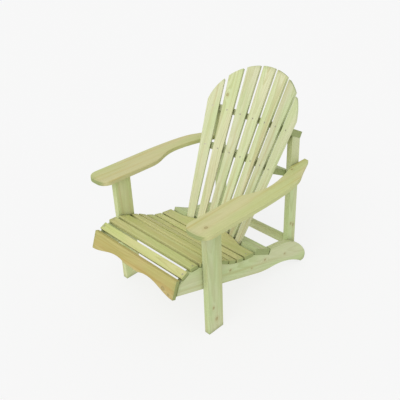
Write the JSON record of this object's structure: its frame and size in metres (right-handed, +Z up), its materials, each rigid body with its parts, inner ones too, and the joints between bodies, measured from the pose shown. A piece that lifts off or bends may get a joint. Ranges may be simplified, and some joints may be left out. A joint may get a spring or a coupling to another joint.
{
  "type": "wooden armchair",
  "caption": "Slatted wooden garden armchair with a fanned, dished back, a sweeping slatted seat, broad flat arms and splayed side rails.",
  "frame": {"origin": "on the ground, under the middle of the chair's bounding box", "axes": "+Z up; the sitter looks towards -Y; the sitter's left arm is at +X, so node names use left for the -X side and right for the +X side as seen by someone facing the chair"},
  "size_m": [0.732, 0.9044, 0.9274],
  "materials": {
    "slat_wood": "planed, pressure treated, unvarnished",
    "frame_wood": "planed, pressure treated, unvarnished",
    "arm_wood": "planed, pressure treated, unvarnished",
    "apron_wood": "planed, pressure treated, unvarnished",
    "screw_steel": "plated"
  },
  "bodies": {
    "root": {"back_slat_1": "slat_wood", "back_slat_2": "slat_wood", "back_slat_3": "slat_wood", "back_slat_4": "slat_wood", "back_slat_5": "slat_wood", "back_slat_6": "slat_wood", "back_slat_7": "slat_wood", "seat_slat_1": "slat_wood", "seat_slat_2": "slat_wood", "seat_slat_3": "slat_wood", "seat_slat_4": "slat_wood", "seat_slat_5": "slat_wood", "seat_slat_6": "slat_wood", "seat_slat_7": "slat_wood", "seat_slat_8": "slat_wood", "side_rail_left": "frame_wood", "side_rail_right": "frame_wood", "front_leg_left": "frame_wood", "front_leg_right": "frame_wood", "rear_post_left": "frame_wood", "rear_post_right": "frame_wood", "back_support_top": "frame_wood", "back_support_middle": "frame_wood", "back_support_lower": "frame_wood", "rear_cross_bar": "frame_wood", "armrest_left": "arm_wood", "armrest_right": "arm_wood", "front_apron": "apron_wood", "slat_screws": "screw_steel", "frame_screws": "screw_steel", "joint_dowels": "frame_wood"}
  },
  "joints": []
}
